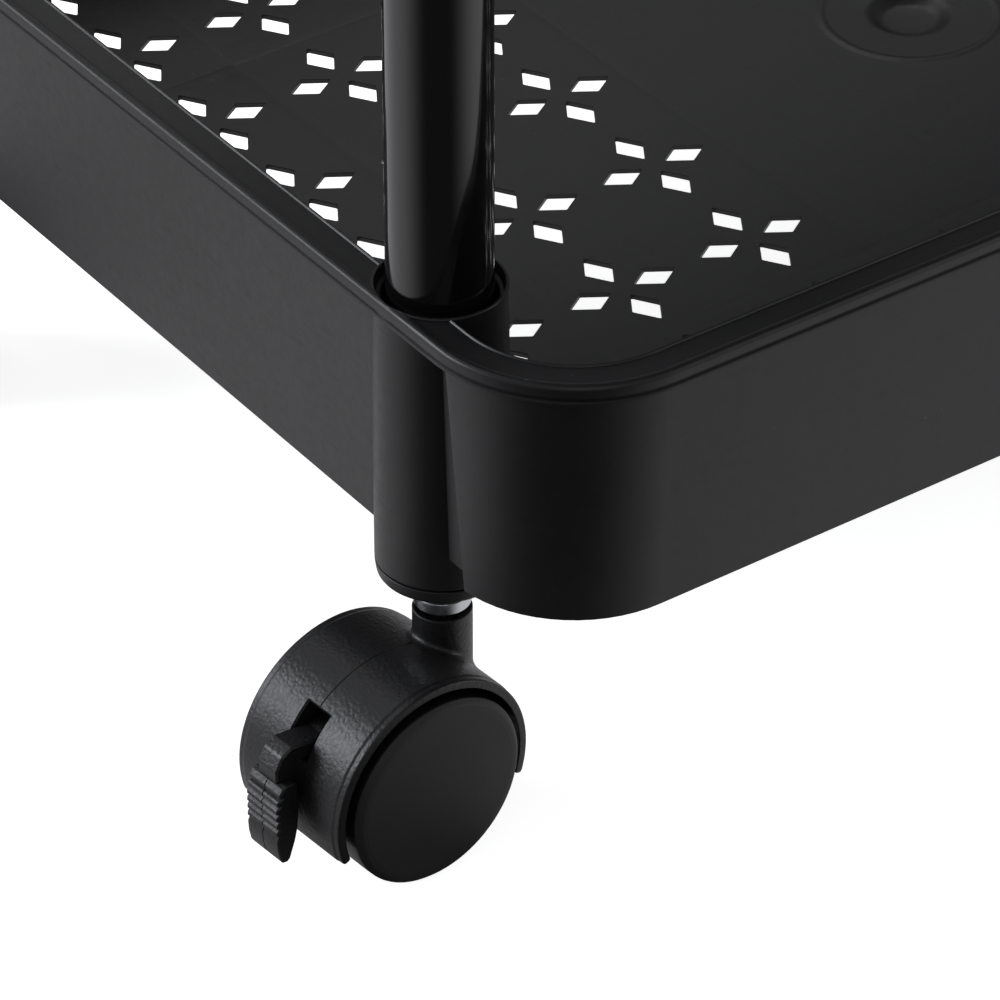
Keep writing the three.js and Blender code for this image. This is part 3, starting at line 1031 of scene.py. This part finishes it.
def fitting_plastic():
    """Plain moulded plastic of the post feet and joiners."""
    look = Look("fitting_plastic")
    cloud = look.noise(40, 3)
    fine = look.noise(700, 3)
    look.colour(look.mix(cloud, (0.011, 0.011, 0.012), (0.018, 0.0175, 0.018)))
    look.roughness(look.spread(cloud, 0.3, 0.7, 0.36, 0.46))
    look.normal(look.bump(fine, 0.00004, 0.5))
    look.fixed(IOR=1.5)
    return look.material


def hood_plastic():
    """Spark-eroded texture of the caster hood and brake lever."""
    look = Look("hood_plastic")
    cloud = look.noise(45, 3)
    leather = look.cells(1250, "SMOOTH_F1")
    fine = look.noise(1900, 2, 0.5)
    look.colour(look.mix(cloud, (0.0085, 0.0085, 0.0095), (0.0135, 0.0135, 0.0145)))
    look.roughness(look.maths("ADD", look.spread(cloud, 0.3, 0.7, 0.34, 0.42),
                              look.spread(leather, 0, 0.6, -0.03, 0.05)))
    look.normal(look.bump(fine, 0.00006, 0.5, look.bump(leather, 0.00011, 0.7)))
    look.fixed(IOR=1.5)
    return look.material


def wheel_plastic():
    """Matt, dusty outer face and a smooth, glossier tread."""
    look = Look("wheel_plastic")
    cloud = look.noise(70, 4, 0.6)
    fine = look.noise(1500, 3)
    parts = look.tree.nodes.new("ShaderNodeSeparateXYZ")
    look.join(look.where, parts.inputs[0])
    across = look.maths("ABSOLUTE", parts.outputs["Y"], 0.0)
    face = look.spread(across, 0.0166, 0.0176, 0, 1)
    dusty = look.mix(cloud, (0.0230, 0.0205, 0.0200), (0.0300, 0.0270, 0.0260))
    look.colour(look.mix(face, (0.007, 0.007, 0.0075), dusty))
    rough = look.spread(face, 0, 1, 0.24, 0.56)
    look.roughness(look.maths("ADD", rough, look.spread(cloud, 0.3, 0.7, -0.03, 0.05)))
    look.normal(look.bump(fine, 0.00005, 0.5))
    look.fixed(IOR=1.48)
    return look.material


def zinc():
    """Bright plating of the swivel stem."""
    look = Look("zinc")
    cloud = look.noise(240, 4, 0.6)
    look.colour(look.mix(cloud, (0.55, 0.56, 0.58), (0.78, 0.79, 0.80)))
    look.roughness(look.spread(cloud, 0.3, 0.7, 0.16, 0.30))
    look.normal(look.bump(look.noise(900, 2), 0.00002, 0.5))
    look.fixed(Metallic=1.0)
    return look.material


def steel():
    """Drawn steel of the axle and pin."""
    look = Look("steel")
    cloud = look.noise(300, 3, 0.6, look.stretched((6, 1, 6)))
    look.colour(look.mix(cloud, (0.30, 0.30, 0.31), (0.46, 0.46, 0.47)))
    look.roughness(look.spread(cloud, 0.3, 0.7, 0.25, 0.40))
    look.fixed(Metallic=1.0)
    return look.material


# ---- Studio ----
def floor_material():
    """Pale floor to the camera; to everything else it is a painted glow, dim in front of the near post
    and bright to its sides, that paints the reflections and bounced light on the cart.
    """
    look = Look("studio_floor")
    cloud = look.noise(3, 2)
    look.colour(look.mix(cloud, (0.90, 0.90, 0.90), (0.93, 0.93, 0.93)))
    look.roughness(look.spread(cloud, 0.3, 0.7, 0.7, 0.8))
    look.fixed(Emission_Color=(1, 1, 1, 1), Emission_Strength=0.84)
    low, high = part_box("lower_post_left_front")
    centre = (low + high) / 2
    forward = Vector((-0.581, -0.814, 0))
    aside = Vector((-0.814, 0.581, 0))
    # painted light: the floor's glow strength follows the angle round the near post, dim towards the
    # camera's side and bright to the sides, and lights and shows in reflections on the cart
    turn = look.maths("ARCTAN2", look.along(aside, centre), look.along(forward, centre))
    away = look.maths("ABSOLUTE", turn, 0.0)
    painted_glow_strength = look.spread(away, math.radians(22), math.radians(80), 0.05, 0.62, True)
    painted_glow_shader = look.tree.nodes.new("ShaderNodeEmission")
    painted_glow_shader.inputs["Color"].default_value = (0.97, 0.97, 1.0, 1)
    look.join(painted_glow_strength, painted_glow_shader.inputs["Strength"])
    path = look.tree.nodes.new("ShaderNodeLightPath")
    mix = look.tree.nodes.new("ShaderNodeMixShader")
    look.join(path.outputs["Is Camera Ray"], mix.inputs[0])
    look.join(painted_glow_shader.outputs[0], mix.inputs[1])
    look.join(look.shader.outputs[0], mix.inputs[2])
    look.join(mix.outputs[0], look.tree.nodes["Material Output"].inputs["Surface"])
    return look.material


def build_floor():
    ends = (-FLOOR_HALF, FLOOR_HALF)
    points, faces = skin([[(x, y, 0) for x in ends] for y in ends], around=False)
    floor = bpy.data.objects.new("studio_floor", bpy.data.meshes.new("studio_floor"))
    floor.data.from_pydata(points, [], faces)
    floor.data.materials.append(floor_material())
    bpy.context.scene.collection.objects.link(floor)


def aim(thing, where, target):
    thing.location = where
    thing.rotation_euler = (Vector(target) - Vector(where)).to_track_quat("-Z", "Y").to_euler()


def softbox(name, where, size, power, colour=(1, 1, 1)):
    data = bpy.data.lights.new(name, "AREA")
    data.shape = "RECTANGLE"
    data.size, data.size_y = size
    data.energy = power
    data.color = colour
    light = bpy.data.objects.new(name, data)
    bpy.context.scene.collection.objects.link(light)
    aim(light, where, LIT_POINT)


def build_lights():
    softbox("left_softbox", (-1.46, 1.05, 0.78), (1.0, 0.9), 20, (0.93, 0.95, 1.0))
    softbox("right_strip", (1.3, -1.1, 0.7), (0.5, 1.2), 5)
    softbox("overhead", (0.3, 0.9, 1.9), (1.6, 1.3), 12)
    softbox("front_fill", (-0.9, -1.6, 1.5), (1.0, 0.7), 2)


def build_world():
    """White backdrop to the camera, dim and cool as a light."""
    world = bpy.data.worlds.new("studio")
    world.use_nodes = True
    bpy.context.scene.world = world
    tree = world.node_tree
    output = tree.nodes["World Output"]
    light = tree.nodes["Background"]
    light.inputs["Color"].default_value = (0.95, 0.97, 1.0, 1)
    light.inputs["Strength"].default_value = 0.22
    seen = tree.nodes.new("ShaderNodeBackground")
    seen.inputs["Color"].default_value = (1, 1, 1, 1)
    seen.inputs["Strength"].default_value = 1.0
    path = tree.nodes.new("ShaderNodeLightPath")
    mix = tree.nodes.new("ShaderNodeMixShader")
    tree.links.new(path.outputs["Is Camera Ray"], mix.inputs[0])
    tree.links.new(light.outputs[0], mix.inputs[1])
    tree.links.new(seen.outputs[0], mix.inputs[2])
    tree.links.new(mix.outputs[0], output.inputs["Surface"])


def build_camera():
    data = bpy.data.cameras.new("camera")
    data.lens = LENS
    data.sensor_width = 36
    data.clip_start = 0.02
    data.clip_end = 30
    camera = bpy.data.objects.new("camera", data)
    bpy.context.scene.collection.objects.link(camera)
    aim(camera, CAMERA_TARGET + CAMERA_SIDE.normalized() * CAMERA_DISTANCE, CAMERA_TARGET)
    bpy.context.scene.camera = camera


def keep_cad_nodes(looks):
    """Finishes for the CAD nodes that stay on show."""
    for node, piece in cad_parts.items():
        if "joiner" in node:
            piece.data.materials.clear()
            piece.data.materials.append(looks["fitting"])


def main():
    looks = {
        "tray": tray_plastic(),
        "paint": post_paint(),
        "fitting": fitting_plastic(),
        "hood": hood_plastic(),
        "wheel": wheel_plastic(),
        "zinc": zinc(),
        "steel": steel(),
    }
    build_trays(looks["tray"])
    build_posts(looks["paint"])
    build_handles(looks["paint"])
    build_sockets(looks["fitting"], looks["zinc"])
    build_casters(looks["hood"], looks["wheel"], looks["steel"])
    keep_cad_nodes(looks)
    build_floor()
    build_lights()
    build_world()
    build_camera()
    bpy.context.scene.view_settings.view_transform = "Standard"


main()
